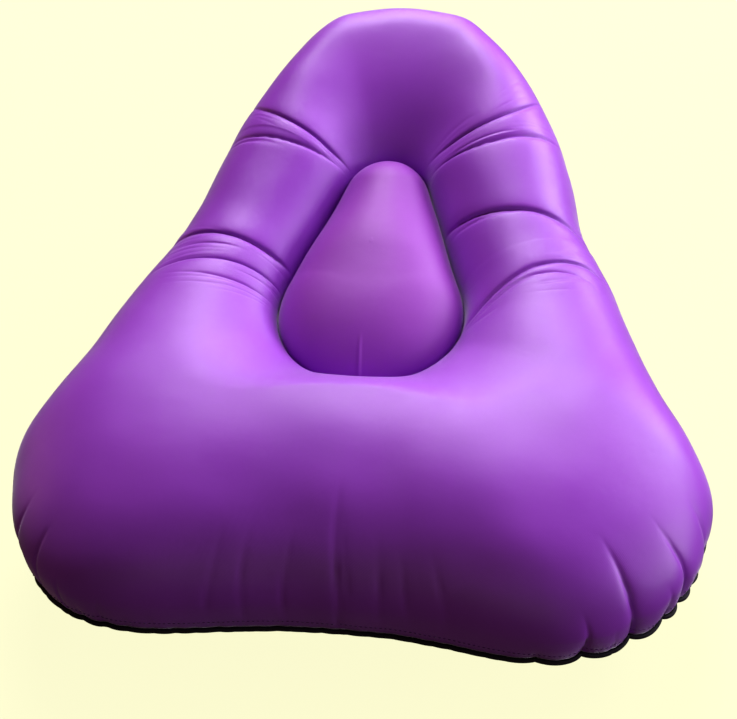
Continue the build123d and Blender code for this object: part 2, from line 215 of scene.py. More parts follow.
def power(x, p):
    """One coordinate of a superellipse quadrant: p of 2 is an ellipse, more is squarer."""
    return np.clip(x, 0, 1) ** (2 / p)


def skin(st, v):
    """Points of the outer form at every station and row: 0 groove, 1 crest, 2 widest, 3 foot."""
    v = np.asarray(v)[None, :]
    L, c, top = st.reach[:, None], st.crest_share[:, None], st.crest_z[:, None]
    out_power, in_power = st.out_power[:, None], st.in_power[:, None]
    a = np.clip(v, 0, 1) * pi / 2
    s_in = c * L * (1 - power(np.cos(a), in_power))
    z_in = GROOVE_Z + (top - GROOVE_Z) * power(np.sin(a), in_power)
    a = np.clip(v - 1, 0, 1) * pi / 2
    s_out = c * L + (1 - c) * L * power(np.sin(a), out_power)
    z_out = WIDEST_Z + (top - WIDEST_Z) * power(np.cos(a), out_power)
    a = np.clip(v - 2, 0, 1) * pi / 2
    s_low = L * (FOOT_SHARE + (1 - FOOT_SHARE) * power(np.cos(a), LOW_POWER))
    z_low = WIDEST_Z * (1 - power(np.sin(a), LOW_POWER))
    s = np.where(v <= 1, s_in, np.where(v <= 2, s_out, s_low))
    z = np.where(v <= 1, z_in, np.where(v <= 2, z_out, z_low))
    x = st.p[:, :1] + st.n[:, :1] * s
    y = st.p[:, 1:] + st.n[:, 1:] * s
    mix = smooth(2.0, 2.5, v) + 0 * y
    z = z + lift_top(y) * (1 - mix) + lift_base(y) * mix
    return np.stack([x, y, z], -1)


def normals(P):
    """Outward normals of a grid closed along its first axis."""
    du = np.roll(P, -1, 0) - np.roll(P, 1, 0)
    dv = np.gradient(P, axis=1)
    n = np.cross(dv, du)
    return n / (np.linalg.norm(n, axis=-1, keepdims=True) + 1e-9)


def speed(st, P):
    """Millimetres travelled per unit of turn, at every point."""
    gap = (np.roll(st.turn, -1) - np.roll(st.turn, 1)) % 2
    travel = np.linalg.norm(np.roll(P, -1, 0) - np.roll(P, 1, 0), axis=-1)
    return travel / np.maximum(gap, 1e-6)[:, None]


def ripple(P, size, seed, count=14):
    """Smooth seeded noise of about unit height whose lumps are about size millimetres wide."""
    rng = np.random.default_rng(seed)
    total = 0
    for _ in range(count):
        d = rng.normal(size=3)
        d /= np.linalg.norm(d)
        k = 2 * pi / (size * rng.uniform(0.7, 1.7))
        total = total + np.sin(P @ d * k + rng.uniform(0, 2 * pi))
    return total / count**0.5


# Creases: side, [(share, row), ...] from the groove outwards, depth, width of the sharp line and
# of the soft valley, and which flank is the steep one.
CREASES = [
    (-1, [(0.825, 0.25), (0.802, 0.87), (0.812, 1.55)], 4.5, 1.8, 9.0, 1),
    (-1, [(0.797, 0.30), (0.765, 0.80), (0.755, 1.20), (0.752, 1.60)], 4.0, 1.6, 8.0, -1),
    (-1, [(0.742, 1.02), (0.735, 1.55)], 1.8, 1.4, 3.5, -1),
    (-1, [(0.512, 0.20), (0.490, 0.90), (0.478, 1.60)], 5.5, 1.8, 9.0, 1),
    (-1, [(0.445, 0.18), (0.433, 1.00), (0.420, 1.45)], 3.6, 1.6, 8.0, -1),
    (-1, [(0.388, 0.25), (0.402, 1.10)], 2.4, 1.6, 6.0, -1),
    (-1, [(0.470, 0.80), (0.455, 1.35)], 1.8, 1.4, 4.0, 1),
    (1, [(0.845, 0.30), (0.812, 0.87), (0.825, 1.55)], 4.5, 1.8, 9.0, 1),
    (1, [(0.797, 0.30), (0.770, 1.00), (0.776, 1.60)], 4.2, 1.6, 8.0, -1),
    (1, [(0.790, 0.55), (0.783, 1.15)], 1.6, 1.3, 4.0, -1),
    (1, [(0.637, 0.20), (0.602, 0.80), (0.535, 1.60)], 6.0, 1.8, 10.0, 1),
    (1, [(0.610, 0.30), (0.585, 0.95)], 2.0, 1.4, 5.0, -1),
    (1, [(0.335, 0.15), (0.410, 0.57), (0.440, 1.00), (0.446, 1.60)], 4.6, 1.7, 9.0, 1),
    (1, [(0.330, 0.30), (0.392, 0.60), (0.424, 1.05), (0.430, 1.30)], 2.8, 1.5, 6.0, -1),
    (1, [(0.318, 0.25), (0.352, 0.55)], 2.0, 1.5, 5.0, -1),
    (1, [(0.355, 0.25), (0.378, 0.50)], 1.6, 1.4, 4.0, -1),
]
CUSP_WEIGHT, VALLEY_WEIGHT = 0.44, 0.22
CUSP_WIDTH = 0.75  # of the crease's sharp width
STEEP_WIDTH = 0.5  # the steep flank against the other

# Upright folds on the walls: side, share, rows from and to, depth, width.
FOLDS = [
    (-1, 0.085, 1.45, 1.95, 0.7, 2.6),
    (-1, 0.065, 1.45, 2.05, 0.9, 2.4),
    (-1, 0.036, 1.50, 2.00, 0.8, 2.2),
    (1, 0.000, 1.33, 2.13, 1.7, 2.4),
    (1, 0.006, 1.42, 1.80, 0.7, 1.8),
    (1, 0.030, 1.50, 2.00, 0.9, 2.4),
    (1, 0.048, 1.55, 1.95, 0.6, 2.2),
    (1, 0.070, 1.50, 2.00, 0.7, 2.6),
    (1, 0.172, 1.50, 2.13, 4.2, 3.4),
    (1, 0.143, 1.75, 2.13, 3.4, 3.0),
    (1, 0.210, 1.55, 2.05, 3.4, 3.2),
    (1, 0.196, 1.82, 2.13, 2.8, 2.6),
    (1, 0.238, 1.60, 1.98, 2.4, 2.8),
    (1, 0.160, 1.90, 2.13, 1.8, 2.2),
    (-1, 0.188, 1.62, 2.13, 2.2, 3.0),
    (-1, 0.215, 1.60, 2.05, 2.0, 3.0),
    (-1, 0.168, 1.80, 2.13, 1.8, 2.4),
    (-1, 0.145, 1.88, 2.13, 1.4, 2.4),
]


DEEP = 2.4  # creases from this depth on have fine wrinkles beside them


def side_wrinkles():
    """Short fine wrinkles that run beside the deep creases, as more rows of the crease table."""
    rng = np.random.default_rng(11)
    found = []
    for side, path, depth, *_ in CREASES:
        if depth < DEEP:
            continue
        low, high = path[0][1], path[-1][1]
        for start, end in ((low - 0.05, low + 0.5), (high - 0.55, high + 0.05)):
            way = rng.choice((-1, 1))
            for k in range(3):
                shift = way * (0.007 + 0.008 * k + rng.uniform(-0.001, 0.002))
                a, b = start + rng.uniform(0, 0.12), end - rng.uniform(0, 0.2)
                share = np.interp([a, b], [q[1] for q in path], [q[0] for q in path])
                line = [(share[0] + shift, a), (share[1] + shift * rng.uniform(0.6, 1.3), b)]
                found.append((side, line, rng.uniform(0.35, 0.8), 1.0, 2.2, way))
    return found


def pull(st, v, P):
    """Displacement along the normal, in mm: creases, folds and slow unevenness."""
    v = np.asarray(v)[None, :] + 0 * P[..., 0]
    pace = speed(st, P)
    turn = st.turn[:, None]
    total = 0.9 * ripple(P, 150, 3) + 0.25 * ripple(P, 45, 5)
    for side, path, depth, sharp, soft, steep in CREASES + side_wrinkles():
        rows = np.array([q[1] for q in path])
        share = np.array([q[0] for q in path])
        curve = np.polyfit(rows, share, min(2, len(path) - 1))
        at = np.polyval(curve, np.clip(v, rows[0] - 0.1, rows[-1] + 0.2))
        at = at if side > 0 else 2 - at
        d = ((turn - at + 1) % 2 - 1) * pace * side
        near = np.where(d * steep > 0, STEEP_WIDTH, 1.0)
        fade_in = smooth(rows[0] - 0.12, rows[0] + 0.35, v)
        fade = fade_in * (1 - smooth(rows[-1] - 0.35, rows[-1] + 0.25, v))
        cusp = np.exp(-np.abs(d) / (CUSP_WIDTH * sharp * near))
        valley = np.exp(-np.abs(d) / (soft * near))
        total = total - depth * fade * (CUSP_WEIGHT * cusp + VALLEY_WEIGHT * valley)
    for side, share, low, high, depth, width in FOLDS:
        at = share if side > 0 else 2 - share
        d = ((turn - at + 1) % 2 - 1) * pace
        d = d + 1.2 * np.sin(v * 9 + share * 90)
        grow = smooth(low, low + 0.3, v) * (1 - 0.7 * smooth(high, high + 0.1, v))
        wide = np.where(d > 0, 1.9, 1.0) * width
        line = np.exp(-np.abs(d) / (0.4 * width))
        flank = np.exp(-np.abs(d) / wide)
        total = total - 0.85 * depth * grow * (0.55 * line + 0.45 * flank)
    return total


# Deep cusps of the seam at the right front corner: share, depth, how far up the wall they reach.
NOTCHES = [
    (0.118, 2.4, 0.20), (0.143, 4.6, 0.30), (0.172, 6.2, 0.50), (0.196, 4.6, 0.30),
    (0.210, 5.4, 0.45), (0.224, 4.4, 0.25), (0.239, 5.4, 0.35), (0.262, 2.4, 0.15),
]
NOTCH_ROOM = 8  # random gathers keep this far from the next notch, in mm
NOTCH_LINK = 45  # notches nearer to each other than this have no random gather between them


def corner_weight(share, side):
    """How strongly the seam is drawn in near a front corner; the right corner is the fuller one."""
    strong = np.where(side > 0, 1.0, 0.7)
    return strong * np.exp(-(((share - 0.19) / 0.055) ** 2))


def gathers(st, v, P, seam_run):
    """Puckers that rise from the lower seam: cusps with full bulges between them."""
    rng = np.random.default_rng(21)
    length = seam_run[-1]
    run = seam_run[:-1]
    v = np.asarray(v)[None, :] + 0 * P[..., 0]
    places, depths, talls = [], [], []
    at = rng.uniform(0, 6)
    named = []
    for share, *size in NOTCHES:
        station = np.argmin(np.abs(st.share - share) + (st.side < 0))
        named.append((float(run[station]), *size))
    while at < length - 5:
        if named and at > named[0][0] - NOTCH_ROOM:
            place, depth, tall = named.pop(0)
            places.append(place)
            depths.append(depth)
            talls.append(tall)
            linked = named and named[0][0] - place < NOTCH_LINK
            at = named[0][0] if linked else place + rng.uniform(12, 16)
            continue
        i = int(np.searchsorted(run, at)) % len(st.share)
        corner = float(corner_weight(st.share[i], st.side[i]))
        places.append(at)
        depths.append(rng.uniform(0.3, 1.0) * (0.7 + 3.2 * corner))
        talls.append(rng.uniform(0.08, 0.2) + rng.uniform(0.10, 0.40) * corner)
        at += rng.uniform(7, 17) + rng.uniform(5, 16) * corner
    places, depths, talls = map(np.array, (places, depths, talls))
    total = 0
    for k, (a, depth, tall) in enumerate(zip(places, depths, talls)):
        before = (a - places[k - 1]) % length
        after = (places[(k + 1) % len(places)] - a) % length
        d = (run - a + length / 2) % length - length / 2
        u = np.clip(1 - np.where(d < 0, -d / before, d / after), 0, 1) ** 2.6
        total = total - depth * u[:, None] * smooth(SEAM_V - tall, SEAM_V, v) ** 1.3
    return total


# --- Mesh helpers ---------------------------------------------------------------------------
def new_object(name, verts, faces):
    mesh = bpy.data.meshes.new(name)
    mesh.from_pydata([tuple(p) for p in verts], [], faces)
    mesh.update()
    mesh.polygons.foreach_set("use_smooth", [True] * len(mesh.polygons))
    obj = bpy.data.objects.new(name, mesh)
    bpy.context.scene.collection.objects.link(obj)
    return obj


def grid_object(name, P, uv=None):
    """Quads over a grid of millimetre points, closed along the first axis."""
    n, m = P.shape[:2]
    i, k = np.meshgrid(np.arange(n), np.arange(m - 1), indexing="ij")
    j = (i + 1) % n
    faces = np.stack([i * m + k, i * m + k + 1, j * m + k + 1, j * m + k], -1).reshape(-1, 4)
    obj = new_object(name, P.reshape(-1, 3) * MM, faces.tolist())
    if uv is not None:
        loops = np.stack([uv[i, k], uv[i, k + 1], uv[i + 1, k + 1], uv[i + 1, k]], 2)
        layer = obj.data.uv_layers.new(name="cloth")
        layer.data.foreach_set("uv", loops.reshape(-1).astype(np.float32))
    return obj


def weld(obj, distance=0.00005):
    """Merges points that coincide, within a distance in metres, and turns the faces outwards."""
    bm = bmesh.new()
    bm.from_mesh(obj.data)
    bmesh.ops.remove_doubles(bm, verts=bm.verts, dist=distance)
    bmesh.ops.dissolve_degenerate(bm, edges=bm.edges, dist=1e-7)
    bmesh.ops.recalc_face_normals(bm, faces=bm.faces)
    bm.to_mesh(obj.data)
    bm.free()
    obj.data.polygons.foreach_set("use_smooth", [True] * len(obj.data.polygons))


def cut_slot(obj):
    """Cuts the zip's slot out of the bottom panel."""
    bm = bmesh.new()
    bm.from_mesh(obj.data)
    middle = Vector((0, ZIP_Y, float(lift_base(ZIP_Y)))) * MM
    along = Vector((0, cos(RISE), sin(RISE)))
    planes = [(middle + along * s * SLOT_HALF * MM, along) for s in (-1, 1)]
    planes += [(middle + Vector((s * ZIP_HALF * MM, 0, 0)), Vector((1, 0, 0))) for s in (-1, 1)]
    cut_margin, slope_margin = 0.02, 0.01

    def inside(face, slack):
        d = face.calc_center_median() - middle
        return (abs(d.x) < ZIP_HALF * MM + slack
                and abs(d.dot(along)) < SLOT_HALF * MM + slack
                and abs(d.z - d.y * tan(RISE)) < slope_margin)

    for co, no in planes:
        faces = [f for f in bm.faces if inside(f, cut_margin)]
        edges = list({e for f in faces for e in f.edges})
        verts = list({v for f in faces for v in f.verts})
        bmesh.ops.bisect_plane(bm, geom=edges + verts + faces, plane_co=co, plane_no=no)
    bmesh.ops.delete(bm, geom=[f for f in bm.faces if inside(f, 0)], context="FACES")
    bm.to_mesh(obj.data)
    bm.free()


def valve_hole(obj, radius):
    """Opens a round hole in the rear wall for the valve's stem."""
    bm = bmesh.new()
    bm.from_mesh(obj.data)
    far_away = Vector((1, 1))
    rim_room = 12

    def off_axis(v):
        """Offset from the valve's axis in the rear wall; elsewhere a point well off it."""
        return Vector((v.co.x, v.co.z - VALVE_Z * MM)) if v.co.y > 0.2 else far_away

    inner = [v for v in bm.verts if off_axis(v).length < radius * MM]
    bmesh.ops.delete(bm, geom=inner, context="VERTS")
    for v in bm.verts:
        d = off_axis(v)
        if v.is_boundary and d.length < (radius + rim_room) * MM:
            d = d.normalized() * radius * MM
            v.co.x, v.co.z = d.x, d.y + VALVE_Z * MM
    bm.to_mesh(obj.data)
    bm.free()


def thicken(obj, thickness):
    """Gives a sheet its fabric thickness, inwards, and keeps the result as its mesh."""
    mod = obj.modifiers.new("thickness", "SOLIDIFY")
    mod.thickness = thickness * MM
    mod.offset = -1
    mod.use_even_offset = False
    apply_modifiers(obj)


def apply_modifiers(obj):
    graph = bpy.context.evaluated_depsgraph_get()
    mesh = bpy.data.meshes.new_from_object(obj.evaluated_get(graph), depsgraph=graph)
    obj.modifiers.clear()
    obj.data = mesh


def tube(name, line, radius, sides):
    """A cord of round section along a closed line of millimetre points."""
    n = len(line)
    along = np.roll(line, -1, 0) - np.roll(line, 1, 0)
    along /= np.linalg.norm(along, axis=1, keepdims=True)
    up = np.array([0, 0, 1.0])
    a = np.cross(along, up)
    a /= np.linalg.norm(a, axis=1, keepdims=True)
    b = np.cross(a, along)
    angle = np.linspace(0, 2 * pi, sides, endpoint=False)[None, :, None]
    P = line[:, None, :] + (a[:, None, :] * np.cos(angle) + b[:, None, :] * np.sin(angle)) * radius
    faces = []
    for i in range(n):
        j = (i + 1) % n
        for k in range(sides):
            m = (k + 1) % sides
            faces.append((i * sides + k, j * sides + k, j * sides + m, i * sides + m))
    obj = new_object(name, P.reshape(-1, 3) * MM, faces)
    weld(obj)
    return obj


# One stitch, from end to end: place along its length, width and height over its thread's radius.
STITCH_PITCH, STITCH_LENGTH, THREAD_R = 3.0, 2.0, 0.28
STITCH_PLACE = (-0.5, -0.3, 0, 0.3, 0.5)
STITCH_WIDTH = (0.3, 0.85, 1.0, 0.85, 0.3)
STITCH_HEIGHT = (-0.6, 0.35, 0.6, 0.35, -0.6)
STITCH_SIDES = 6


def stitches(name, line, out):
    """A row of short raised stitches along a line; out is the surface's direction along it."""
    step = np.linalg.norm(np.diff(line, axis=0), axis=1)
    run = np.concatenate([[0], np.cumsum(step)])
    count = int(run[-1] // STITCH_PITCH)
    sides, r = STITCH_SIDES, THREAD_R
    verts, faces = [], []
    for i in range(count):
        s = np.array([(i + 0.5) * STITCH_PITCH + d * STITCH_LENGTH for d in STITCH_PLACE])
        s = np.clip(s, 0, run[-1])
        pts = np.stack([np.interp(s, run, line[:, k]) for k in range(3)], -1)
        nrm = np.array([np.interp(s[2], run, out[:, k]) for k in range(3)])
        nrm /= np.linalg.norm(nrm)
        along = pts[-1] - pts[0]
        along /= np.linalg.norm(along)
        side = np.cross(along, nrm)
        base = len(verts)
        for p, w, h in zip(pts, STITCH_WIDTH, STITCH_HEIGHT):
            for a in np.linspace(0, 2 * pi, sides, endpoint=False):
                raised = nrm * (r * h + sin(a) * r * w)
                verts.append((p + side * cos(a) * r * w + raised) * MM)
        for q in range(len(pts) - 1):
            this, after = base + q * sides, base + (q + 1) * sides
            for k in range(sides):
                m = (k + 1) % sides
                faces.append((this + k, this + m, after + m, after + k))
        last = base + (len(pts) - 1) * sides
        faces.append(tuple(base + k for k in range(sides))[::-1])
        faces.append(tuple(last + k for k in range(sides)))
    obj = new_object(name, verts, faces)
    weld(obj, 1e-7)
    return obj


# --- Materials ------------------------------------------------------------------------------
def material(name):
    """A new material, its node tree and its shader."""
    mat = bpy.data.materials.new(name)
    mat.use_nodes = True
    return mat, mat.node_tree, mat.node_tree.nodes["Principled BSDF"]


def link(tree, a, b):
    tree.links.new(a, b)


def noise(tree, source, scale, detail, rough=0.5):
    """A noise texture over a coordinate output; returns its factor output."""
    node = tree.nodes.new("ShaderNodeTexNoise")
    node.inputs["Scale"].default_value = scale
    node.inputs["Detail"].default_value = detail
    node.inputs["Roughness"].default_value = rough
    link(tree, source, node.inputs["Vector"])
    return node.outputs["Fac"]


def shades(tree, fac, low, high):
    """A two-colour ramp over the middle of a factor's range."""
    node = tree.nodes.new("ShaderNodeValToRGB")
    for stop, place, color in zip(node.color_ramp.elements, (0.3, 0.7), (low, high)):
        stop.position = place
        stop.color = (*color, 1)
    link(tree, fac, node.inputs["Fac"])
    return node.outputs["Color"]


def spread(tree, fac, low, high):
    """Maps a 0 to 1 factor to a range."""
    node = tree.nodes.new("ShaderNodeMapRange")
    node.inputs["To Min"].default_value = low
    node.inputs["To Max"].default_value = high
    link(tree, fac, node.inputs["Value"])
    return node.outputs["Result"]


def bumps(tree, shader, layers):
    """Chains bump nodes: (height output, distance in metres, strength)."""
    last = None
    for height, distance, strength in layers:
        node = tree.nodes.new("ShaderNodeBump")
        node.inputs["Distance"].default_value = distance
        node.inputs["Strength"].default_value = strength
        link(tree, height, node.inputs["Height"])
        if last:
            link(tree, last, node.inputs["Normal"])
        last = node.outputs["Normal"]
    link(tree, last, shader.inputs["Normal"])


WAVE_PER_METRE = 0.314  # scale of a wave texture whose bands are a metre apart


def weave(tree, source, pitch, turn):
    """Crossing threads: product of two fine waves over a coordinate in metres."""
    mapping = tree.nodes.new("ShaderNodeMapping")
    mapping.inputs["Rotation"].default_value = (0, 0, turn)
    link(tree, source, mapping.inputs["Vector"])
    outs = []
    for axis in ("X", "Y"):
        wave = tree.nodes.new("ShaderNodeTexWave")
        wave.wave_type = "BANDS"
        wave.bands_direction = axis
        wave.inputs["Scale"].default_value = 1 / pitch * WAVE_PER_METRE
        wave.inputs["Distortion"].default_value = 0.6
        wave.inputs["Detail"].default_value = 1.0
        link(tree, mapping.outputs["Vector"], wave.inputs["Vector"])
        outs.append(wave.outputs["Fac"])
    mix = tree.nodes.new("ShaderNodeMath")
    mix.operation = "MULTIPLY"
    link(tree, outs[0], mix.inputs[0])
    link(tree, outs[1], mix.inputs[1])
    return mix.outputs[0]


def cloth(name, low, high, rough, sheen, tint, pitch=0.0006, uv=True, shine=0.5):
    """Woven cloth between two colours; pitch is the thread spacing in metres."""
    mat, tree, shader = material(name)
    coord = tree.nodes.new("ShaderNodeTexCoord")
    place = coord.outputs["UV" if uv else "Object"]
    body = coord.outputs["Object"]
    color = shades(tree, noise(tree, body, 9.0, 4.0), low, high)
    gloss = spread(tree, noise(tree, body, 60.0, 2.0), rough - 0.05, rough + 0.05)
    link(tree, color, shader.inputs["Base Color"])
    link(tree, gloss, shader.inputs["Roughness"])
    shader.inputs["Sheen Weight"].default_value = sheen
    shader.inputs["Sheen Roughness"].default_value = 0.30
    shader.inputs["Sheen Tint"].default_value = (*tint, 1)
    shader.inputs["Specular IOR Level"].default_value = shine
    bumps(tree, shader, [
        (noise(tree, body, 55.0, 3.0, 0.55), 0.0004, 0.5),
        (weave(tree, place, pitch, 0.35), 0.00008, 0.6),
    ])
    return mat


def plastic(name, color, rough, grain=900.0, depth=0.00004, metal=0.0, clear=0.0):
    """Moulded plastic, rubber, film or enamelled metal with a fine grain."""
    mat, tree, shader = material(name)
    coord = tree.nodes.new("ShaderNodeTexCoord")
    body = coord.outputs["Object"]
    dark = tuple(c * 0.8 for c in color)
    tone = shades(tree, noise(tree, body, 120.0, 4.0), dark, color)
    gloss = spread(tree, noise(tree, body, 260.0, 3.0), rough - 0.07, rough + 0.1)
    link(tree, tone, shader.inputs["Base Color"])
    link(tree, gloss, shader.inputs["Roughness"])
    shader.inputs["Metallic"].default_value = metal
    shader.inputs["Transmission Weight"].default_value = clear
    bumps(tree, shader, [(noise(tree, body, grain, 2.0), depth, 0.5)])
    return mat


SATIN = cloth("satin_violet", (0.340, 0.054, 0.61), (0.385, 0.064, 0.67),
              0.40, 0.60, (0.97, 0.92, 1.0), shine=0.65)
# The pad's copy of the satin has less blue than the ring's: painted shade and reddish bounce light of
# the recessed pad.
SHADED_PAD_SATIN = cloth("satin_violet_pad_painted_shade", (0.330, 0.052, 0.50), (0.375, 0.062, 0.56),
                  0.50, 0.35, (0.97, 0.92, 1.0), uv=False)
BASE_CLOTH = cloth("base_knit", (0.045, 0.020, 0.058), (0.062, 0.028, 0.078),
                   0.8, 0.25, (0.7, 0.6, 0.8), 0.0009)
CORD_CLOTH = cloth("piping_knit", (0.008, 0.004, 0.012), (0.014, 0.007, 0.020),
                   0.7, 0.2, (0.5, 0.4, 0.6), 0.0007, uv=False)
TAPE_CLOTH = cloth("tape_weave", (0.020, 0.009, 0.028), (0.034, 0.015, 0.046),
                   0.75, 0.25, (0.6, 0.5, 0.7), 0.0008, uv=False)
THREAD = cloth("sewing_thread", (0.10, 0.02, 0.20), (0.16, 0.035, 0.30),
               0.55, 0.4, (0.9, 0.8, 1.0), 0.0004, uv=False)
FILM = plastic("air_film", (0.62, 0.62, 0.68), 0.3, 300.0, 0.0002, clear=0.4)
TUBE = plastic("tube_vinyl", (0.66, 0.66, 0.72), 0.35, 300.0, 0.0001, clear=0.3)
VALVE = plastic("valve_vinyl", (0.030, 0.020, 0.040), 0.42)
CAP = plastic("cap_vinyl", (0.036, 0.024, 0.048), 0.38)
FLAP = plastic("flap_rubber", (0.018, 0.018, 0.018), 0.6)
EYELET = plastic("eyelet_enamel", (0.05, 0.04, 0.06), 0.32, 500.0, 0.00002, metal=0.7)
TEETH = plastic("zip_teeth", (0.030, 0.018, 0.042), 0.3, 700.0, 0.00003)
ZIP_METAL = plastic("zip_enamel", (0.055, 0.045, 0.065), 0.3, 500.0, 0.00003, metal=0.8)


def wear(obj, mat):
    obj.data.materials.clear()
    obj.data.materials.append(mat)


# --- Cover panels ---------------------------------------------------------------------------
SEAM_V = 2 + asin(((WIDEST_Z - SEAM_Z) / WIDEST_Z) ** (LOW_POWER / 2)) / (pi / 2)

ring = Stations(600, dense=1.6)
rows = np.concatenate([
    np.linspace(0, 1, 34)[:-1],
    np.linspace(1, 2, 68)[:-1],
    np.linspace(2, SEAM_V, 8),
])
form = skin(ring, rows)
seam = form[:, -1]
seam_step = np.linalg.norm(np.roll(seam, -1, 0) - seam, axis=1)
seam_run = np.concatenate([[0], np.cumsum(seam_step)])
out = normals(form)
push = pull(ring, rows, form) + gathers(ring, rows, form, seam_run)
hold = smooth(0.0, 0.10, rows)[None, :]  # the groove stays still
# So does the rear wall round the valve.
near_valve = np.exp(-((form[..., 0] / 16) ** 2 + ((form[..., 2] - (VALVE_Z + 1)) / 22) ** 2))
valve_calm = 1 - near_valve * (form[..., 1] > 200)
cover = form + out * (push * hold * valve_calm)[..., None]


LEAN, LEAN_Y, LEAN_SPREAD = 5.5, -25, 75.0


def lean(P):
    """The pad and its groove sit a little to the left of the middle at their wide end."""
    P = P.copy()
    from_middle = P[..., 0] ** 2 + (P[..., 1] - LEAN_Y) ** 2
    P[..., 0] -= LEAN * np.exp(-from_middle / (2 * LEAN_SPREAD**2))
    return P


cover = lean(cover)


def arc_uv(P):
    """Cloth coordinates in metres: round the cushion and down each section, with a closing row."""
    Q = np.concatenate([P, P[:1]])
    middle = Q[:, Q.shape[1] // 2]
    steps = np.linalg.norm(np.diff(middle, axis=0), axis=1)
    along = np.concatenate([[0], np.cumsum(steps)])
    across = np.cumsum(np.linalg.norm(np.diff(Q, axis=1, prepend=Q[:, :1]), axis=-1), axis=1)
    return np.stack([np.repeat(along[:, None], Q.shape[1], 1), across], -1) * MM


ring_cover = grid_object("ring_cover", cover, arc_uv(cover))
valve_hole(ring_cover, COVER_HOLE_R)
thicken(ring_cover, FABRIC_T)
wear(ring_cover, SATIN)
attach(ring_cover, "cushion")
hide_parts("cover_top_panel")

# Bottom panel: wall rows from the seam down to the foot (row 3), then flat rows to the middle.
WALL_ROWS, FLAT_ROWS = 22, 26
TUCK = 3.0
low_rows = np.concatenate([
    np.linspace(SEAM_V, 3, WALL_ROWS),
    3 + np.linspace(0, 1, FLAT_ROWS)[1:],
])
low = skin(ring, np.clip(low_rows, 0, 3))
spine = np.stack([0 * ring.spine, ring.spine], -1)
foot = low[:, WALL_ROWS - 1, :2].copy()
for k, v in enumerate(low_rows):
    if v > 3:
        xy = foot + (spine - foot) * (v - 3)
        low[:, k, :2] = xy
        low[:, k, 2] = lift_base(xy[:, 1])
# It starts at the gathered seam, and is drawn in behind the piping.
follow = 1 - smooth(SEAM_V, SEAM_V + 0.35, low_rows)
low = low + (cover[:, -1] - form[:, -1])[:, None] * follow[None, :, None]
tuck = TUCK * smooth(SEAM_V, SEAM_V + 0.12, low_rows) * (1 - smooth(2.6, 3.0, low_rows))
low[..., :2] -= ring.n[:, None, :] * tuck[None, :, None]
base_cover = grid_object("base_cover", low, arc_uv(low))
weld(base_cover, 0.0002)
cut_slot(base_cover)
thicken(base_cover, FABRIC_T)
wear(base_cover, BASE_CLOTH)
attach(base_cover, "cushion")
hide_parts("cover_bottom_panel")

# Centre pad: a pear-shaped dome that stands in the groove, lower towards both ends.
PAD_MIDDLE = np.array([0.0, 24.0])
PAD_FALL = 0.42
PAD_ROUND, PAD_FULL = 2.2, 1.85  # powers of the dome's section, across and upwards
DART_DEPTH, DART_WIDTH = 0.7, 1.2  # the short seam at the pad's wide end


def pad_height(xy):
    """Height of the pad over the groove at plan points inside the pear."""
    x, y = np.abs(xy[..., 0]), xy[..., 1]
    slope = (PEAR_TIP_R - PEAR_R) / (PEAR_TIP_Y - PEAR_Y)
    at = np.clip((y - PEAR_Y) - x * tan(PEAR_FLARE), 0, PEAR_TIP_Y - PEAR_Y)
    q = np.hypot(x, y - PEAR_Y - at) / (PEAR_R + slope * at)
    fall_back = 1 - PAD_FALL * smooth(20, 125, y)
    fall_front = 1 - PAD_FALL * (np.clip(62 - y, 0, None) / 130) ** 2
    dome_shape = np.clip(1 - np.clip(q, 0, 1) ** PAD_ROUND, 0, 1) ** (1 / PAD_FULL)
    return PAD_RISE * fall_back * fall_front * dome_shape


def dome_grid(st, count, inset=0.0):
    """Rings of points from the pear outline, or inset from it, to one middle point."""
    t = 1 - np.sin(np.linspace(0, 1, count) * pi / 2)
    rim = st.p - st.n * inset
    xy = PAD_MIDDLE + (rim - PAD_MIDDLE)[:, None] * t[None, :, None]
    z = GROOVE_Z + pad_height(xy) + lift_top(xy[..., 1])
    return np.concatenate([xy, z[..., None]], -1)


dome = dome_grid(Stations(360), 60)
off_edge = smooth(0, 10, dome[..., 2] - dome[:, :1, 2])
dome_up = normals(dome)
dome_up[:, -8:] = (0, 0, 1)  # the innermost rings are too small for normals of their own
dart_line = np.exp(-((dome[..., 0] / DART_WIDTH) ** 2))
dart = DART_DEPTH * dart_line * smooth(-44, -54, dome[..., 1])
small = 0.5 * ripple(dome, 60, 8) - dart
dome = lean(dome + dome_up * (small * off_edge)[..., None])
pad_cover = grid_object("pad_cover", dome)
weld(pad_cover, 0.00002)
thicken(pad_cover, FABRIC_T)
wear(pad_cover, SHADED_PAD_SATIN)
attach(pad_cover, "cushion")
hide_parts("cover_centre_panel")

# Binding in the bottom of the groove.
BINDING_R, BINDING_DROP = 1.5, 1.2
groove = lean(form[:, 0])
groove[:, 2] -= BINDING_DROP
binding = tube("groove_cord", groove[::2], BINDING_R, 8)
wear(binding, THREAD)
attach(binding, "cushion")
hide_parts("groove_binding")

# Piping along the seam, following its gathers. It stands a little out and down from the fabric.
PIPING_R, PIPING_OUT, PIPING_DROP = 1.65, 1.0, 0.6
edge_out = out[:, -1].copy()
edge_out[:, 2] = -0.15
edge_out /= np.linalg.norm(edge_out, axis=1, keepdims=True)
cord_line = cover[:, -1] + edge_out * PIPING_OUT - (0, 0, PIPING_DROP)
piping = tube("piping_cord", cord_line, PIPING_R, 12)
wear(piping, CORD_CLOTH)
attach(piping, "cushion")
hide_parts("edge_piping")

# Top stitching a few rows above the piping.
stitch_row = len(rows) - 4
seam_line = np.vstack([cover[:, stitch_row], cover[:1, stitch_row]])
seam_out = np.vstack([out[:, stitch_row], out[:1, stitch_row]])
topstitch = stitches("seam_topstitch", seam_line, seam_out)
wear(topstitch, THREAD)
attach(topstitch, "cushion")

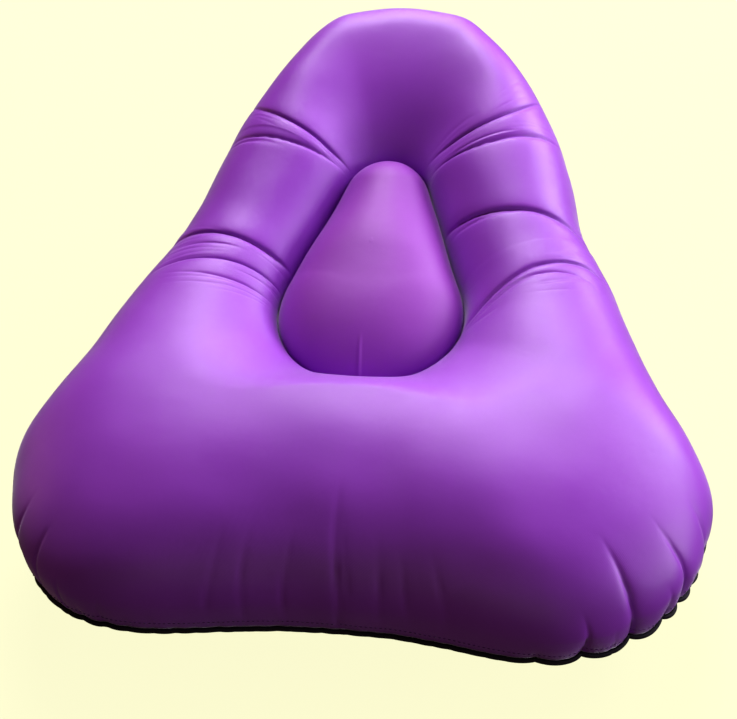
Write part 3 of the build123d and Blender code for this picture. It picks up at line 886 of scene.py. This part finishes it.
# Ring air cell: the cover's section, closed by an upright wall beside the groove, and shrunk.
CELL_INSET = 11.0
few = Stations(110)
cell_rows = np.concatenate([
    np.linspace(0, 1, 14)[:-1],
    np.linspace(1, 2, 22)[:-1],
    np.linspace(2, 3, 14),
])
cell_form = skin(few, cell_rows)
wall_top = cell_form[:, :1]
wall_foot = lift_base(wall_top[..., 1])
climb = np.linspace(0, 1, 10)[None, 1:-1]
inner_wall = np.stack([
    wall_top[..., 0] + 0 * climb,
    wall_top[..., 1] + 0 * climb,
    wall_foot + climb * (wall_top[..., 2] - wall_foot),
], -1)
loop = np.concatenate([cell_form, inner_wall], 1)
down_section = np.roll(loop, -1, 1) - np.roll(loop, 1, 1)
round_ring = np.roll(loop, -1, 0) - np.roll(loop, 1, 0)
loop_out = np.cross(down_section, round_ring)
loop_out /= np.linalg.norm(loop_out, axis=-1, keepdims=True) + 1e-9
loop = lean(loop - loop_out * CELL_INSET)
ring_cell = grid_object("ring_bladder", np.concatenate([loop, loop[:, :1]], 1))
valve_hole(ring_cell, CELL_HOLE_R)
weld(ring_cell, 0.0001)
wear(ring_cell, FILM)
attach(ring_cell, "cushion")
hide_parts("ring_air_cell")

# Pad air cell: a flat bottom, an upright wall and the pad's dome, each a little inside the cover.
PAD_CELL_GAP = 6
dome_line = dome_grid(few, 18, 5.0)
pad_low = dome_line[:, ::-1].copy()
pad_low[..., 2] = lift_base(pad_low[..., 1]) + PAD_CELL_GAP
pad_top = dome_line - (0, 0, PAD_CELL_GAP)
climb = np.linspace(0, 1, 9)[None, 1:-1, None]
pad_wall = pad_low[:, -1:] + (pad_top[:, :1] - pad_low[:, -1:]) * climb
pad_loop = lean(np.concatenate([pad_low, pad_wall, pad_top], 1))
pad_cell = grid_object("pad_bladder", pad_loop)
weld(pad_cell, 0.0002)
wear(pad_cell, FILM)
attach(pad_cell, "cushion")
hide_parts("pad_air_cell")


# Zip tapes: woven strips along the slot, thicker beside the teeth, with a line of sewing.
def zip_point(x, along, height):
    """A point by the zip, in mm: along the slope towards the front, and down from the fabric."""
    y = ZIP_Y - along * cos(RISE)
    z = lift_base(ZIP_Y) - along * sin(RISE)
    return np.stack(np.broadcast_arrays(x, y + height * sin(RISE), z - height * cos(RISE)), -1)


def zip_tape(name, node, side):
    across = np.linspace(0, 1, 15)
    x = np.linspace(-ZIP_HALF, ZIP_HALF, 240)[:, None]
    cord = 0.2 * np.exp(-(((across - 0.05) / 0.05) ** 2))
    sewing = np.exp(-(((across - 0.62) / 0.04) ** 2)) * (0.07 + 0.05 * np.sin(x * 2.1))
    along = side * (TEETH_EDGE + TAPE_W * across)
    outer = zip_point(x, along, TAPE_T + cord + sewing)
    inner = zip_point(x, along[::-1], 0.02)
    section = np.concatenate([outer, inner], 1)
    n, m = section.shape[:2]
    faces = []
    for a in range(n - 1):
        for b in range(m):
            c = (b + 1) % m
            faces.append((a * m + b, a * m + c, (a + 1) * m + c, (a + 1) * m + b))
    faces.append(tuple(range(m))[::-1])
    faces.append(tuple((n - 1) * m + b for b in range(m)))
    tape = new_object(name, section.reshape(-1, 3) * MM, faces)
    weld(tape, 1e-6)
    wear(tape, TAPE_CLOTH)
    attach(tape, "cushion")
    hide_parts(node)


zip_tape("zip_tape_woven_front", "zip_tape_front", 1)
zip_tape("zip_tape_woven_rear", "zip_tape_rear", -1)

# --- Carried-over CAD nodes -----------------------------------------------------------------
FINISH = {
    "link_tube": TUBE, "valve_eyelet": EYELET, "valve_base": VALVE, "valve_strap": VALVE,
    "check_flap": FLAP, "valve_cap": CAP, "zip_teeth_front": TEETH, "zip_teeth_rear": TEETH,
    "zip_stop_left": ZIP_METAL, "zip_stop_right": ZIP_METAL, "zip_slider": ZIP_METAL,
    "zip_pull": ZIP_METAL,
}
for node, mat in FINISH.items():
    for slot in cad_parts[node].material_slots:
        slot.material = mat

# --- Stage, light and camera ----------------------------------------------------------------
bpy.ops.mesh.primitive_plane_add(size=12, location=(0, 0, -0.0005))
floor = bpy.context.object
floor.name = "floor"
bpy.ops.mesh.primitive_cylinder_add(
    vertices=96, radius=5.5, depth=6, end_fill_type="NOTHING", location=(0, 0, 2.9))
backdrop = bpy.context.object
backdrop.name = "backdrop"
floor_mat, _, floor_shader = material("pale_floor")
floor_shader.inputs["Base Color"].default_value = (0.09, 0.088, 0.06, 1)
floor_shader.inputs["Roughness"].default_value = 0.9
floor_shader.inputs["Specular IOR Level"].default_value = 0.0
floor_shader.inputs["Emission Color"].default_value = (1.0, 0.99, 0.675, 1)
floor_shader.inputs["Emission Strength"].default_value = 0.80
for piece in (floor, backdrop):
    piece.visible_diffuse = False  # the stage casts no light of its own on the object
    piece.visible_glossy = False
    wear(piece, floor_mat)

world = bpy.data.worlds.new("studio")
bpy.context.scene.world = world
world.use_nodes = True
background = world.node_tree.nodes["Background"]
background.inputs["Color"].default_value = (1.0, 0.82, 0.58, 1)
background.inputs["Strength"].default_value = 0.062

MIDDLE, SOFT_SIZE = (0, -0.03, 0.1), (1.0, 0.8)


def area_light(name, place, power, color, target=MIDDLE, size=SOFT_SIZE):
    data = bpy.data.lights.new(name, "AREA")
    data.shape = "RECTANGLE"
    data.size, data.size_y = size
    data.energy = power
    data.color = color
    obj = bpy.data.objects.new(name, data)
    obj.location = place
    obj.rotation_euler = (Vector(target) - Vector(place)).to_track_quat("-Z", "Y").to_euler()
    bpy.context.scene.collection.objects.link(obj)


area_light("key_right", (1.389, 1.165, 0.945), 28, (0.94, 0.96, 1.0))
area_light("key_high", (-0.14, 1.33, 1.586), 30, (0.98, 0.97, 1.0))
area_light("rim_right", (1.925, -0.168, 0.618), 14, (0.94, 0.96, 1.0))
area_light("rim_rear", (0, 1.854, 0.849), 9, (1, 1, 1))
area_light("fill_front", (0, -1.813, 0.945), 1.5, (1.0, 0.85, 0.75))
area_light("warm_left", (-1.56, 0.40, 0.30), 1.6, (1.0, 0.5, 0.35), (0, 0, 0.08), (0.8, 0.5))

# The camera looks at a point in the cushion from a distance, turned a little about its axis.
AZIMUTH, ELEVATION, ROLL = radians(9.89), radians(46.0), radians(-4.88)
LOOK_AT, DISTANCE = Vector((0, -0.031, 0.090)), 1.15
back = Vector((sin(AZIMUTH) * cos(ELEVATION), -cos(AZIMUTH) * cos(ELEVATION), sin(ELEVATION)))
right = Vector((cos(AZIMUTH), sin(AZIMUTH), 0))
up = back.cross(right)
right, up = right * cos(ROLL) + up * sin(ROLL), up * cos(ROLL) - right * sin(ROLL)
data = bpy.data.cameras.new("camera")
data.sensor_width = 36.0
data.lens = 84.82
data.shift_x = -0.0052
data.shift_y = -0.0272
camera = bpy.data.objects.new("camera", data)
place = LOOK_AT + back * DISTANCE
camera.matrix_world = Matrix((
    (right.x, up.x, back.x, place.x),
    (right.y, up.y, back.y, place.y),
    (right.z, up.z, back.z, place.z),
    (0, 0, 0, 1),
))
bpy.context.scene.collection.objects.link(camera)
bpy.context.scene.camera = camera
bpy.context.scene.view_settings.view_transform = "Standard"
bpy.context.scene.view_settings.look = "Medium High Contrast"
